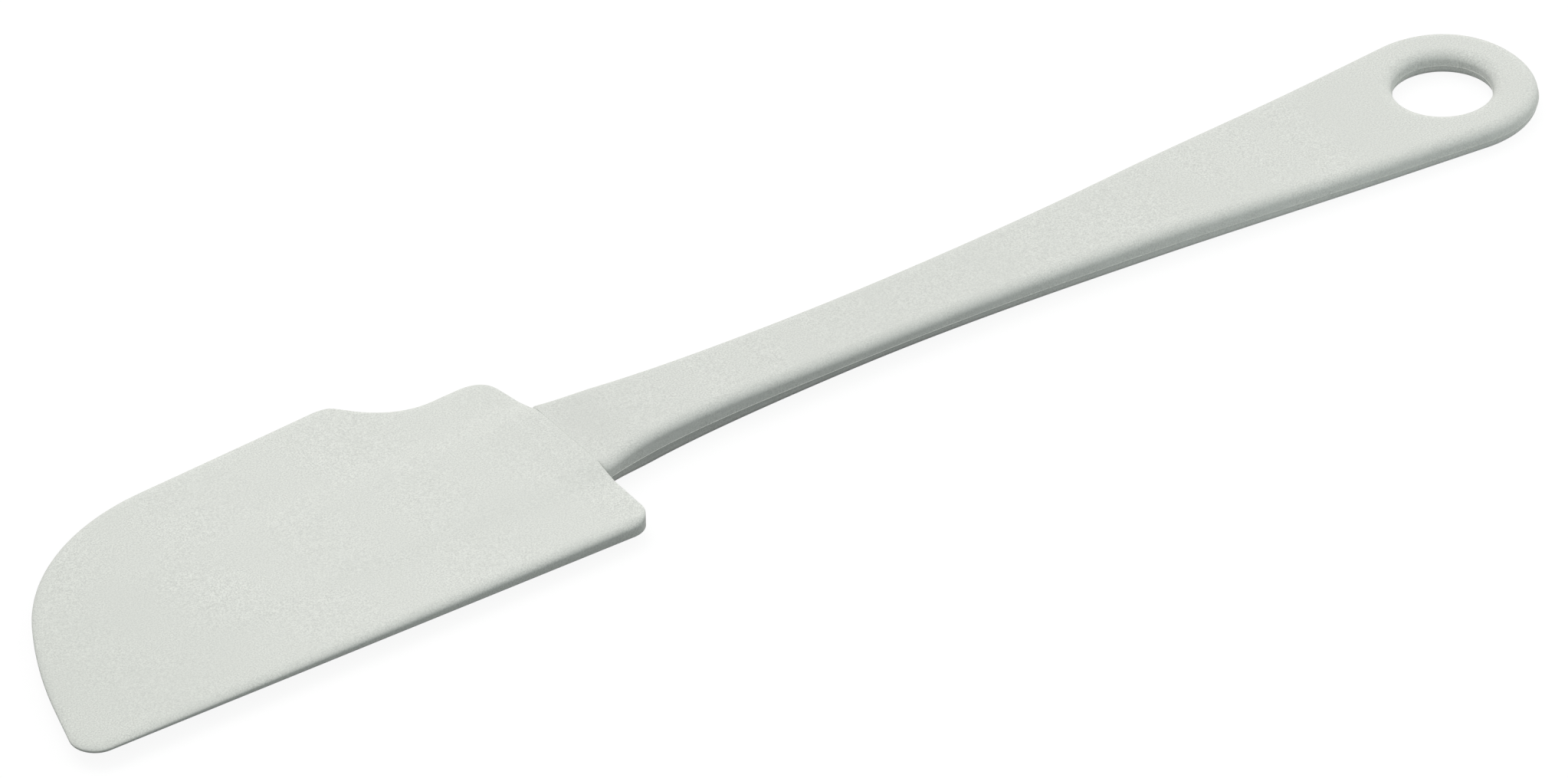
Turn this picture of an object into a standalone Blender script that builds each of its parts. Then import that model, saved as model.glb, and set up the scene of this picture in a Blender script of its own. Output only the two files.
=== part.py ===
"""Rubber spatula: a soft scraper blade pushed onto the tongue of a one-piece handle with a hanging eye.

The handle points along +X and the blade along -X. The spatula lies flat on the plane Z = 0,
and the origin is the middle of its footprint. All sizes are in metres.
"""

import math

import bmesh
import bpy
from mathutils import Vector

# Tongue of the handle, and how it sits in the blade's pocket
TONGUE_LENGTH = 0.0300
TONGUE_ROOT_WIDTH = 0.0130
TONGUE_TIP_WIDTH = 0.0100
TONGUE_ROOT_THICKNESS = 0.0018
TONGUE_TIP_THICKNESS = 0.0010
TONGUE_EDGE_RADIUS = 0.0006       # along the tongue's long edges
TONGUE_TIP_RADIUS = 0.0030        # its two end corners, seen from above
TONGUE_SINK = 0.0040              # how far the tongue runs on inside the handle's body
FIT_CLEARANCE = 0.0003            # between the tongue and the pocket, all round
BUTT_GAP = 0.0003                 # between the blade's end face and the handle's shoulder
MOUTH_WALL = 0.00050              # rubber over and under the tongue's root
POCKET_END_WALL = 0.00045         # rubber over and under the tongue's tip

# Blade outline, seen from above. Each corner is placed sharp, and is then rounded by its radius.
BLADE_LENGTH = 0.0924             # end face to the toe, the far corner of the straight side
STRAIGHT_SIDE = 0.02195           # centre line to the long straight side
TOE_RADIUS = 0.0037
KNEE_FROM_TOE = 0.0063            # the nose bends gently here, measured along X
KNEE_OFFSET = -0.0011             # and from the centre line
KNEE_RADIUS = 0.0880
BROW_FROM_TOE = 0.0203            # the nose turns into the wide side here
BROW_OFFSET = 0.0232
BROW_RADIUS = 0.0352
HORN_FROM_END = 0.0228            # the small horn beside the hollow
HORN_OFFSET = 0.0267
HORN_RADIUS = 0.0036
HOLLOW_FROM_END = 0.0161          # the foot of the hollow
HOLLOW_OFFSET = 0.0190
HOLLOW_RADIUS = 0.0130
HEEL_SETBACK = 0.0009             # the heel is the corner beside the handle on the hollow's side
HEEL_OFFSET = 0.01935
HEEL_RADIUS = 0.0046
END_BEND_OFFSET = 0.0090          # the end face is square up to here, and then leans back to the heel
END_BEND_RADIUS = 0.0600
STRAIGHT_END_RADIUS = 0.0048      # corner of the straight side and the end face

# Blade thickness. It is the same over and under the middle plane, and each value is one half of it.
NOSE_HALF = 0.00043               # at the rim of the nose
HEEL_HALF = 0.00120               # at the rim of the end face
SIDE_RIM = 0.00110                # rounding along the sides
END_RIM = 0.00045                 # rounding round the end face
SWELL_LEVEL = 0.0005              # the swelling over the pocket is level up to here outside the tongue's edge
SWELL_FADE = 0.0070               # and gone this far outside it

# Handle outline, seen from above
HANDLE_LENGTH = 0.1586            # shoulder to the far end of the eye
SHOULDER_HALF_WIDTH = 0.0092
SHOULDER_CORNER = 0.0006          # rounding of the shoulder's two corners
FLARE_POWER = 2.4                 # how sharply the neck widens towards the shoulder
WAIST_FROM_SHOULDER = 0.0446
WAIST_HALF_WIDTH = 0.00645
TAPER_FROM_WAIST = 0.0521         # the grip's sides run straight from here to the eye
EYE_HOLE_RADIUS = 0.00704
EYE_RING_WIDTH = 0.00623
HANDLE_RIM = 0.0025               # rounding along the handle's edges, where its thickness allows that much

# Handle thickness as halves, and the height of the underside over the resting plane
NECK_HALF = 0.00260
WAIST_HALF = 0.00188
GRIP_HALF = 0.00212
EYE_HALF = 0.00187
FRONT_RISE = 0.0017               # the handle starts flush with the blade and swells to the neck in this length
THIN_FROM_SHOULDER = 0.0470       # shoulder to the thinnest place
THICK_FROM_EYE = 0.0513           # eye's centre back to the thickest place of the grip
FLAT_FROM_EYE = 0.0145            # eye's centre back to where the level end begins
WAIST_LIFT = 0.00075              # height of the underside at the thinnest place
GRIP_LIFT = 0.00025               # and at the thickest place of the grip
ROUND_SHARE = 0.93                # most that a rounding takes of a half thickness
RIM_SHARE = 0.42                  # most that the handle's rounding takes of the eye's ring or of half the waist

# Fineness of the surfaces
ARC_STEP = math.radians(11)       # largest turn between two points of a small arc
LONGEST_STEP = 0.0034             # largest distance between two points of a side
RIM_STEPS = 4                     # facets in the quarter round of a rim
FRONT_STEPS = 4                   # facets in the round front of the handle
TONGUE_TIP_STEPS = 6              # facets in a corner of the tongue's tip
BLADE_FACE_STEPS = 4              # facets from the blade's rim inwards
RIB_REACH = 0.8                   # how far inwards they go, as a share of the way to the spine
SPINE_FROM_END = 0.0148           # the spine is a stretch of the blade's centre line, from here
SPINE_FROM_TOE = 0.0277           # to here
HANDLE_FACE_STEPS = 2             # facets from the handle's rim to its middle

# Sizes that follow from the ones above
mouth_half = TONGUE_ROOT_THICKNESS / 2 + FIT_CLEARANCE + MOUTH_WALL
pocket_end_half = TONGUE_TIP_THICKNESS / 2 + FIT_CLEARANCE + POCKET_END_WALL
pocket_depth = TONGUE_LENGTH + FIT_CLEARANCE - BUTT_GAP
eye_radius = EYE_HOLE_RADIUS + EYE_RING_WIDTH
eye_centre = Vector((HANDLE_LENGTH - eye_radius, 0))
handle_rim = min(HANDLE_RIM, RIM_SHARE * min(EYE_RING_WIDTH, WAIST_HALF_WIDTH))
hole_rim = min(handle_rim, ROUND_SHARE * EYE_HALF)
hole_start = eye_centre.x - EYE_HOLE_RADIUS - hole_rim


def share(value, low, high):
    """Where value lies between low and high, from 0 to 1."""
    return min(1.0, max(0.0, (value - low) / (high - low)))


def smooth(t):
    return t * t * (3 - 2 * t)


def round_start(x, length):
    """How far a quarter round still is from its full height at x: 1 at x = 0, and 0 from length on."""
    return 1 - math.sqrt(1 - (1 - share(x, 0, length)) ** 2)


def through(stations, x, ease=lambda t: t):
    """Height at x on lines through (x, height) stations, straight ones unless an ease bends them."""
    for (x0, h0), (x1, h1) in zip(stations, stations[1:]):
        if x <= x1:
            return h0 + (h1 - h0) * ease(share(x, x0, x1))
    return stations[-1][1]


def arc(centre, radius, start, turn, step=ARC_STEP):
    """Points of an arc with their directions from its centre, both ends included."""
    count = max(2, math.ceil(abs(turn) / step))
    angles = [start + turn * i / count for i in range(count + 1)]
    directions = [Vector((math.cos(a), math.sin(a))) for a in angles]
    return [(centre + d * radius, d) for d in directions]


def rounded_outline(corners):
    """Closed outline as (point, outward direction), anticlockwise, from (x, y, radius) corners.

    A radius is cut down where two roundings would meet on a short side."""
    count = len(corners)
    points = [Vector(corner[:2]) for corner in corners]
    backs = [(points[i - 1] - points[i]).normalized() for i in range(count)]
    aheads = [(points[(i + 1) % count] - points[i]).normalized() for i in range(count)]
    halves = [back.angle(ahead) / 2 for back, ahead in zip(backs, aheads)]
    lengths = [corner[2] / math.tan(half) for corner, half in zip(corners, halves)]
    for i in range(count):
        follower = (i + 1) % count
        excess = (lengths[i] + lengths[follower]) / (points[follower] - points[i]).length
        if excess > 1:
            lengths[i] /= excess
            lengths[follower] /= excess
    outline = []
    for point, back, ahead, half, length in zip(points, backs, aheads, halves, lengths):
        radius = length * math.tan(half)
        centre = point + (back + ahead).normalized() * radius / math.sin(half)
        start = point + back * length - centre
        bulge = 1 if back.cross(ahead) < 0 else -1
        step = min(ARC_STEP, LONGEST_STEP / radius)
        turned = arc(centre, radius, math.atan2(start.y, start.x), bulge * (math.pi - 2 * half), step)
        outline += [(place, direction * bulge) for place, direction in turned]
    return with_side_points(outline, outline[1:] + outline[:1])


def with_side_points(outline, followers):
    """Adds evenly spaced points where a point and its follower are far apart, and drops doubled ones."""
    filled = []
    for (point, direction), (ahead, ahead_direction) in zip(outline, followers):
        distance = (ahead - point).length
        if distance < 1e-6:
            continue
        count = math.ceil(distance / LONGEST_STEP)
        for i in range(count):
            turned = direction.lerp(ahead_direction, i / count).normalized()
            filled.append((point.lerp(ahead, i / count), turned))
    return filled


def rim_of(edge, outward, rim, half):
    """A rim's points as (place, height): from the outermost point on the middle plane up onto the face."""
    rim = min(rim, ROUND_SHARE * half)
    points = [(edge, 0.0)]
    for i in range(RIM_STEPS + 1):
        angle = math.pi / 2 * i / RIM_STEPS
        place = edge - outward * rim * (1 - math.cos(angle))
        points.append((place, half - rim + rim * math.sin(angle)))
    return points


def face_of(start, end, steps, half_at):
    """A face's points as (place, height), after its start and up to its end."""
    places = [start.lerp(end, i / steps) for i in range(1, steps + 1)]
    return [(place, half_at(place)) for place in places]


def add_surface(mesh, ribs, to_space, closed=False):
    """Joins each rib to its follower with quads, as far in as both reach. Returns the ribs' points."""
    rows = [[mesh.verts.new(to_space(place, height)) for place, height in rib] for rib in ribs]
    followers = rows[1:] + rows[:1] if closed else rows[1:]
    for row, ahead in zip(rows, followers):
        for i in range(min(len(row), len(ahead)) - 1):
            mesh.faces.new((row[i], ahead[i], ahead[i + 1], row[i + 1]))
    return rows


def close_seams(mesh):
    """Merges points that meet, drops what collapses, and turns all faces outwards."""
    bmesh.ops.remove_doubles(mesh, verts=mesh.verts, dist=1e-6)
    bmesh.ops.recalc_face_normals(mesh, faces=mesh.faces)


def make_object(name, mesh, parent, location, material=None):
    """A smooth-shaded object. Without a material it is a helper that only a Boolean uses."""
    data = bpy.data.meshes.new(name)
    mesh.to_mesh(data)
    mesh.free()
    data.shade_smooth()
    data.set_sharp_from_angle(angle=math.radians(40))
    made = bpy.data.objects.new(name, data)
    bpy.context.scene.collection.objects.link(made)
    made.parent = parent
    made.location = location
    if material:
        data.materials.append(material)
    else:
        made.hide_render = True
        made.display_type = "WIRE"
    return made


def add_boolean(target, operation, helper):
    boolean = target.modifiers.new(helper.name, "BOOLEAN")
    boolean.operation = operation
    boolean.solver = "EXACT"
    boolean.object = helper


def plain_material(name, colour, roughness):
    material = bpy.data.materials.new(name)
    material.use_nodes = True
    shader = material.node_tree.nodes["Principled BSDF"]
    shader.inputs["Base Color"].default_value = (*colour, 1.0)
    shader.inputs["Roughness"].default_value = roughness
    shader.inputs["Metallic"].default_value = 0.0
    return material


def blade_outline():
    """The blade from above, with its end face at x = 0 and the handle's centre line at y = 0."""
    toe_x = -BLADE_LENGTH
    return rounded_outline([
        (toe_x, -STRAIGHT_SIDE, TOE_RADIUS),
        (0.0, -STRAIGHT_SIDE, STRAIGHT_END_RADIUS),
        (0.0, END_BEND_OFFSET, END_BEND_RADIUS),
        (-HEEL_SETBACK, HEEL_OFFSET, HEEL_RADIUS),
        (-HOLLOW_FROM_END, HOLLOW_OFFSET, HOLLOW_RADIUS),
        (-HORN_FROM_END, HORN_OFFSET, HORN_RADIUS),
        (toe_x + BROW_FROM_TOE, BROW_OFFSET, BROW_RADIUS),
        (toe_x + KNEE_FROM_TOE, KNEE_OFFSET, KNEE_RADIUS),
    ])


def blade_half(place):
    """Half the blade's thickness: a wedge that thins towards the nose, swollen over the pocket."""
    at_rim = NOSE_HALF + (HEEL_HALF - NOSE_HALF) * share(place.x, -BLADE_LENGTH, 0)
    at_middle = through([
        (-BLADE_LENGTH, NOSE_HALF),
        (-pocket_depth, pocket_end_half),
        (0, mouth_half),
    ], place.x)
    level_to = TONGUE_ROOT_WIDTH / 2 + SWELL_LEVEL
    gone_from = TONGUE_ROOT_WIDTH / 2 + SWELL_FADE
    return at_middle + (at_rim - at_middle) * smooth(share(abs(place.y), level_to, gone_from))


def blade_rib(edge, outward):
    """From the blade's rim most of the way to the spine, a stretch of the centre line."""
    rim = SIDE_RIM + (END_RIM - SIDE_RIM) * smooth(max(0.0, outward.x))
    border = rim_of(edge, outward, rim, blade_half(edge - outward * rim))
    start = border[-1][0]
    spine_x = min(max(edge.x, SPINE_FROM_TOE - BLADE_LENGTH), -SPINE_FROM_END)
    end = start.lerp(Vector((spine_x, 0)), RIB_REACH)
    return border + face_of(start, end, BLADE_FACE_STEPS, blade_half)


def make_blade(material, parent):
    """The blade's origin is on the slide axis, in the middle of its end face."""
    mesh = bmesh.new()
    ribs = [blade_rib(edge, outward) for edge, outward in blade_outline()]
    for up in (1, -1):
        rows = add_surface(mesh, ribs, lambda place, height: (place.x, place.y, up * height), closed=True)
        loop = [mesh.edges.get((row[-1], ahead[-1])) for row, ahead in zip(rows, rows[1:] + rows[:1])]
        bmesh.ops.triangle_fill(mesh, edges=loop, use_beauty=True)
    close_seams(mesh)
    blade = make_object("blade", mesh, parent, (-BUTT_GAP, 0, NECK_HALF), material)
    cutter = make_object("pocket_cutter", tongue_mesh(FIT_CLEARANCE, END_RIM), parent, (0, 0, NECK_HALF))
    add_boolean(blade, "DIFFERENCE", cutter)
    return blade


def tongue_mesh(grown, root_x):
    """The tongue, larger by grown on every side, from x = root_x at its root to its tip at -X."""
    mesh = bmesh.new()
    tip_x = -TONGUE_LENGTH - grown
    corner = min(TONGUE_TIP_RADIUS + grown, TONGUE_TIP_WIDTH / 2)
    stations = [root_x, 0.0, -TONGUE_LENGTH / 2]
    for i in range(TONGUE_TIP_STEPS + 1):
        stations.append(tip_x + corner * (1 - math.sin(math.pi / 2 * i / TONGUE_TIP_STEPS)))
    loops = []
    for x in stations:
        along = share(-x, 0, TONGUE_LENGTH)
        width = TONGUE_ROOT_WIDTH + (TONGUE_TIP_WIDTH - TONGUE_ROOT_WIDTH) * along
        thickness = TONGUE_ROOT_THICKNESS + (TONGUE_TIP_THICKNESS - TONGUE_ROOT_THICKNESS) * along
        past = min(corner, max(0.0, tip_x + corner - x))
        drawn_in = corner - math.sqrt(corner ** 2 - past ** 2)
        half_width = width / 2 + grown - drawn_in
        loops.append(rounded_section(mesh, x, half_width, thickness / 2 + grown, TONGUE_EDGE_RADIUS + grown))
    for loop, ahead in zip(loops, loops[1:]):
        for i in range(len(loop)):
            mesh.faces.new((loop[i - 1], loop[i], ahead[i], ahead[i - 1]))
    mesh.faces.new(loops[0])
    mesh.faces.new(loops[-1])
    close_seams(mesh)
    return mesh


def rounded_section(mesh, x, half_width, half_height, radius):
    """A loop of points across the X axis: a rectangle with round corners."""
    radius = min(radius, ROUND_SHARE * half_width, ROUND_SHARE * half_height)
    loop = []
    for quarter, (side, up) in enumerate(((1, 1), (-1, 1), (-1, -1), (1, -1))):
        centre = Vector((side * (half_width - radius), up * (half_height - radius)))
        for point, _ in arc(centre, radius, quarter * math.pi / 2, math.pi / 2, math.pi / 4):
            loop.append(mesh.verts.new((x, point.x, point.y)))
    return loop


def neck_side():
    """One side from the shoulder to the waist: a round corner, then a flare that is level at the waist."""
    front = [FRONT_RISE * (1 - math.cos(math.pi / 2 * i / FRONT_STEPS)) for i in range(FRONT_STEPS)]
    neck_length = WAIST_FROM_SHOULDER - FRONT_RISE
    count = math.ceil(neck_length / LONGEST_STEP)
    side = []
    for x in front + [FRONT_RISE + neck_length * i / count for i in range(count + 1)]:
        flare = (SHOULDER_HALF_WIDTH - WAIST_HALF_WIDTH) * (1 - x / WAIST_FROM_SHOULDER) ** FLARE_POWER
        drawn_in = SHOULDER_CORNER * round_start(x, SHOULDER_CORNER)
        side.append((Vector((x, WAIST_HALF_WIDTH + flare - drawn_in)), Vector((0, 1))))
    return side


def grip_taper():
    """The angle of the grip's straight sides, which leave the waist's curve and touch the eye's circle."""
    waist_to_eye = eye_centre.x - WAIST_FROM_SHOULDER
    low = 0.001
    high = math.pi / 3
    for _ in range(40):
        angle = (low + high) / 2
        half_width = WAIST_HALF_WIDTH + TAPER_FROM_WAIST * math.tan(angle / 2)
        reach = half_width * math.cos(angle) + (waist_to_eye - TAPER_FROM_WAIST) * math.sin(angle)
        if reach < eye_radius:
            low = angle
        else:
            high = angle
    return angle


def grip_side():
    """One side from the waist to the eye's circle: a wide arc, then a straight taper."""
    taper = grip_taper()
    radius = TAPER_FROM_WAIST / math.sin(taper)
    centre = Vector((WAIST_FROM_SHOULDER, WAIST_HALF_WIDTH + radius))
    curve = arc(centre, radius, -math.pi / 2, taper, LONGEST_STEP / radius)
    side = [(place, -direction) for place, direction in curve]
    outward = side[-1][1]
    side.append((eye_centre + outward * eye_radius, outward))
    return with_side_points(side[1:], side[2:])


def face_to_middle(edge, outward):
    """A rib of the plain stretch of the handle: round the edge and square across to the centre line."""
    rib = rim_of(edge, outward, handle_rim, handle_half(edge))
    return rib + face_of(rib[-1][0], Vector((edge.x, 0)), HANDLE_FACE_STEPS, handle_half)


def face_to_hole(edge, outward, angle):
    """A rib of the eye: round the edge, across to the hole at this angle from the eye's centre, and into it."""
    rib = rim_of(edge, outward, handle_rim, handle_half(edge))
    to_hole = Vector((math.cos(angle), math.sin(angle)))
    hole_edge = eye_centre + to_hole * EYE_HOLE_RADIUS
    rib += face_of(rib[-1][0], hole_edge + to_hole * hole_rim, HANDLE_FACE_STEPS, handle_half)
    return rib + rim_of(hole_edge, -to_hole, hole_rim, EYE_HALF)[-2::-1]


def handle_ribs():
    """Ribs of one quarter of the handle, from the shoulder to the far end of the eye."""
    side = neck_side() + grip_side()
    ribs = [face_to_middle(edge, outward) for edge, outward in side if edge.x < hole_start]
    taper = grip_taper()
    outward = Vector((-math.sin(taper), math.cos(taper)))
    circle_start = eye_centre + outward * eye_radius
    steps = math.ceil(math.pi / 2 / ARC_STEP)
    for i in range(steps):
        along = i / steps
        x = hole_start + (circle_start.x - hole_start) * along
        edge = Vector((x, circle_start.y - (circle_start.x - x) * math.tan(taper)))
        angle = math.pi - (math.pi / 2 - taper) * along
        ribs.append(face_to_hole(edge, outward, angle))
    for edge, direction in arc(eye_centre, eye_radius, math.pi / 2 + taper, -math.pi / 2 - taper):
        ribs.append(face_to_hole(edge, direction, math.atan2(direction.y, direction.x)))
    return ribs


def handle_half(place):
    """Half the handle's thickness."""
    half = through([
        (0.0, NECK_HALF),
        (THIN_FROM_SHOULDER, WAIST_HALF),
        (eye_centre.x - THICK_FROM_EYE, GRIP_HALF),
        (eye_centre.x - FLAT_FROM_EYE, EYE_HALF),
    ], place.x, smooth)
    return half - (NECK_HALF - mouth_half) * round_start(place.x, FRONT_RISE)


def handle_middle(place):
    """Height of the handle's middle plane over the resting plane, the blade's own height at the shoulder."""
    underside = through([
        (0.0, 0.0),
        (THIN_FROM_SHOULDER, WAIST_LIFT),
        (eye_centre.x - THICK_FROM_EYE, GRIP_LIFT),
        (eye_centre.x - FLAT_FROM_EYE, 0.0),
    ], place.x, smooth)
    return underside + handle_half(place) + (NECK_HALF - mouth_half) * round_start(place.x, FRONT_RISE)


def make_handle(material, parent):
    """The handle's origin is in the middle of its shoulder, on the resting plane."""
    mesh = bmesh.new()
    ribs = handle_ribs()
    for side in (1, -1):
        for up in (1, -1):
            add_surface(mesh, ribs, lambda place, height: (
                place.x,
                side * place.y,
                handle_middle(place) + up * height,
            ))
    close_seams(mesh)
    bmesh.ops.holes_fill(mesh, edges=[edge for edge in mesh.edges if edge.is_boundary])
    close_seams(mesh)
    handle = make_object("handle", mesh, parent, (0, 0, 0), material)
    tongue = make_object("tongue", tongue_mesh(0, TONGUE_SINK), parent, (0, 0, NECK_HALF))
    add_boolean(handle, "UNION", tongue)
    return handle


def main():
    for old in list(bpy.data.objects):
        bpy.data.objects.remove(old)
    outline = [place for place, _ in blade_outline()]
    spatula = bpy.data.objects.new("spatula", None)
    bpy.context.scene.collection.objects.link(spatula)
    lowest_x = min(place.x for place in outline) - BUTT_GAP
    middle_y = (min(place.y for place in outline) + max(place.y for place in outline)) / 2
    spatula.location = (-(lowest_x + HANDLE_LENGTH) / 2, -middle_y, 0)
    make_blade(plain_material("blade_rubber", (0.70, 0.716, 0.68), 0.60), spatula)
    make_handle(plain_material("handle_plastic", (0.70, 0.716, 0.68), 0.50), spatula)


main()
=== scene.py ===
"""Rubber spatula: the finished blade and handle, the handle's parting line, and a plain stage.

It is laid out as an add-on and run as a script. Lengths are in metres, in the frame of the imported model.
Seen from above, shapes are worked out in a plan whose origin is the middle of the handle's shoulder,
with the handle along +X and the blade along -X.
"""

import math

import bmesh
import bpy
from mathutils import Matrix, Vector


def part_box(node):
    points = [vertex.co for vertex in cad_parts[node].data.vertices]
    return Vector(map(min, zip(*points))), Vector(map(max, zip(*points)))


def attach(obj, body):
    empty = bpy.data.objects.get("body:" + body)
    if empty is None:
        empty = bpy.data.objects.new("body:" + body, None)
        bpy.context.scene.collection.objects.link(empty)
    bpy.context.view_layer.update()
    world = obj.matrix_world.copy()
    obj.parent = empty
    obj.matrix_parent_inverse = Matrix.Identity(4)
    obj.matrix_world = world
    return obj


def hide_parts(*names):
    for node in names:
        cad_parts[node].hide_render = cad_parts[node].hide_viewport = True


bl_info = {
    "name": "Rubber spatula",
    "version": (1, 0, 0),
    "blender": (4, 5, 0),
    "location": "3D View > Sidebar > Spatula",
    "description": "Makes the blade, the handle, its parting line and the stage round the packed model",
    "category": "Object",
}

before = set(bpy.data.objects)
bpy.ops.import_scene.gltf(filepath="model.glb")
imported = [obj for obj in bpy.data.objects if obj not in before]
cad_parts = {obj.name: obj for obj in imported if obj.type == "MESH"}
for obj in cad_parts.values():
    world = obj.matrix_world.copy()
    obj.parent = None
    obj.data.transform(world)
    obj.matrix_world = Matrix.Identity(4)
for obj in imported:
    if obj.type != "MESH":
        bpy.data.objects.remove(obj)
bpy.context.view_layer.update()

# Fineness of the surfaces
ARC_STEP = math.radians(3)          # largest turn between two points of a small arc
LONGEST_STEP = 0.0009               # largest distance between two points of a side
RIM_STEPS = 12                      # facets in the quarter round of a rim
FRONT_STEPS = 10                    # points in the rise of the handle's front, closest at the joint
TONGUE_TIP_STEPS = 12               # facets in a corner of the tongue's tip
SECTION_STEP = math.pi / 12         # turn between two points in a corner of the tongue's section
BLADE_FACE_STEPS = 18               # facets from the blade's rim inwards
HANDLE_FACE_STEPS = 8               # facets from the handle's rim to its middle
SMOOTH_ANGLE = math.radians(40)     # sharper edges than this stay sharp
OUTERMOST = 0.999                   # points with more edginess than this lie on the parting line
MERGE_DISTANCE = 1e-6
DOUBLED = 1e-7                      # points nearer than this are one point

# Ribs of the blade's faces run towards a stretch of its centre line
SPINE_FROM_END = 0.0148
SPINE_FROM_TOE = 0.0277
RIB_REACH = 0.85

# Most that a rounding takes of a half thickness, and of the eye's ring or half the waist
ROUND_SHARE = 0.93
RIM_SHARE = 0.42

# Search for the angle of the grip's taper
SMALLEST_TAPER = 0.001
LARGEST_TAPER = math.pi / 3
TAPER_HALVINGS = 40

# How closely the eye's flattening keeps to its far end
FLATTENING_POWER = 4

# Noise of the two finishes, with scales per metre
GRAIN_DETAIL = 2.0
CLOUD_SCALE = 90.0
CLOUD_DETAIL = 3.0
CLOUD_SHARE = 0.5                   # most that a cloud covers the grain's colour
CLOUD_TONE = -0.02                  # a cloud's tone against the plain colour, a little darker
PATCH_SCALE = 350.0
PATCH_DETAIL = 4.0
NOISE_RANGE = (0.3, 0.7)            # where nearly all of the noise lies
PATCH_RANGE = (0.45, 0.65)          # noise at which a rubbed patch begins, and is whole
RUBBED_RANGE = (0.35, 0.75)         # edginess at which the rubbing begins, and is whole
ROUGHNESS_SWING = 0.04
BUMP_STRENGTH = 0.25
BUMP_DISTANCE = 0.00002

# Places of the colour sockets among the inputs and outputs of a mix node
FIRST_COLOUR = 6
SECOND_COLOUR = 7
MIXED_COLOUR = 2

# Stage
FILL_PLACE = (0.36, -0.42, 0.34)
FILL_AIM = (0.05, 0.0, 0.0)
FLOOR_REACH = 6.0                   # from the floor's middle to its sides
PHOTO_WIDTH = 2046                  # pixels
SENSOR_WIDTH = 36.0                 # millimetres
CAMERA_REACH = 100.0                # farthest that the camera sees


def length(name, default, description):
    """A property for a size in metres."""
    return bpy.props.FloatProperty(
        name=name, description=description, default=default, unit="LENGTH", precision=5)


def factor(name, default, description):
    """A property for a share between 0 and 1."""
    return bpy.props.FloatProperty(
        name=name, description=description, default=default, min=0, max=1, subtype="FACTOR")


def angle(name, default, description):
    """A property for an angle, with its default in degrees."""
    return bpy.props.FloatProperty(
        name=name, description=description, default=math.radians(default), unit="ROTATION")


def colour(name, default, description):
    """A property for a linear colour."""
    return bpy.props.FloatVectorProperty(
        name=name, description=description, default=default, size=3, min=0, max=1, subtype="COLOR")


class BladeSizes(bpy.types.PropertyGroup):
    """Outline and thickness of the blade. A half thickness is measured from the middle plane."""

    length: length("Length", 0.09215, "End face to the toe, the far corner of the straight side")
    straight_side: length("Straight side", 0.02155, "Centre line to the long side, at the handle's end")
    toe_side: length("Toe side", 0.02197, "Centre line to the same side, at the toe")
    toe_radius: length("Toe radius", 0.0037, "Rounding of the toe")
    knee_from_toe: length("Knee from toe", 0.0063, "Where the nose bends gently, along X")
    knee_offset: length("Knee offset", -0.0011, "The same place, from the centre line")
    knee_radius: length("Knee radius", 0.0880, "Rounding of the gentle bend")
    brow_from_toe: length("Brow from toe", 0.0203, "Where the nose turns into the wide side, along X")
    brow_offset: length("Brow offset", 0.02365, "The same place, from the centre line")
    brow_radius: length("Brow radius", 0.0352, "Rounding of that turn")
    horn_from_end: length("Horn from end", 0.02255, "End face to the small horn beside the hollow")
    horn_offset: length("Horn offset", 0.02668, "Centre line to the tip of the horn")
    horn_radius: length("Horn radius", 0.0036, "Rounding of the horn")
    hollow_from_end: length("Hollow from end", 0.0159, "End face to the foot of the hollow")
    hollow_offset: length("Hollow offset", 0.0189, "Centre line to the foot of the hollow")
    hollow_radius: length("Hollow radius", 0.0130, "Rounding of the hollow")
    heel_setback: length("Heel setback", 0.0016, "How far the end face leans back at the heel")
    heel_offset: length("Heel offset", 0.0195, "Centre line to the short side beside the handle")
    heel_radius: length("Heel radius", 0.0044, "Rounding of the heel")
    end_bend_offset: length("End bend offset", 0.0102, "The end face leans back from here")
    end_bend_radius: length("End bend radius", 0.0600, "Rounding of that bend")
    corner_setback: length("Corner setback", 0.0002, "How far the end face leans back at the straight side")
    straight_end_radius: length("Straight end radius", 0.0034, "Corner of straight side and end face")
    nose_half: length("Nose half", 0.00043, "Half thickness at the rim of the nose")
    heel_half: length("Heel half", 0.00124, "Half thickness at the rim of the end face")
    side_reach: length("Side reach", 0.0018, "How far in the upper rounding along the sides reaches")
    side_drop: length("Side drop", 0.0009, "How far down the upper rounding reaches")
    under_reach: length("Under reach", 0.0008, "How far in the lower rounding along the sides reaches")
    under_drop: length("Under drop", 0.0004, "How far up the lower rounding reaches")
    end_rim: length("End rim", 0.00030, "Rounding round the end face, beside the handle")
    joint_rim: length("Joint rim", 0.00002, "Rounding of the end face where it meets the handle")
    swell_level: length("Swell level", 0.0008, "The swelling is level up to here outside the tongue's edge")
    swell_fade: length("Swell fade", 0.0050, "The swelling is gone this far outside the tongue's edge")
    mouth_wall: length("Mouth wall", 0.00085, "Rubber over and under the tongue's root")
    mouth_lip: length("Mouth lip", 0.0060, "Length in which the rubber thickens towards the mouth")
    pocket_wall: length("Pocket wall", 0.00035, "Rubber over and under the tongue, away from the mouth")
    joint_gap: length("Joint gap", 0.00001, "Between the end face and the handle's shoulder")


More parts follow.
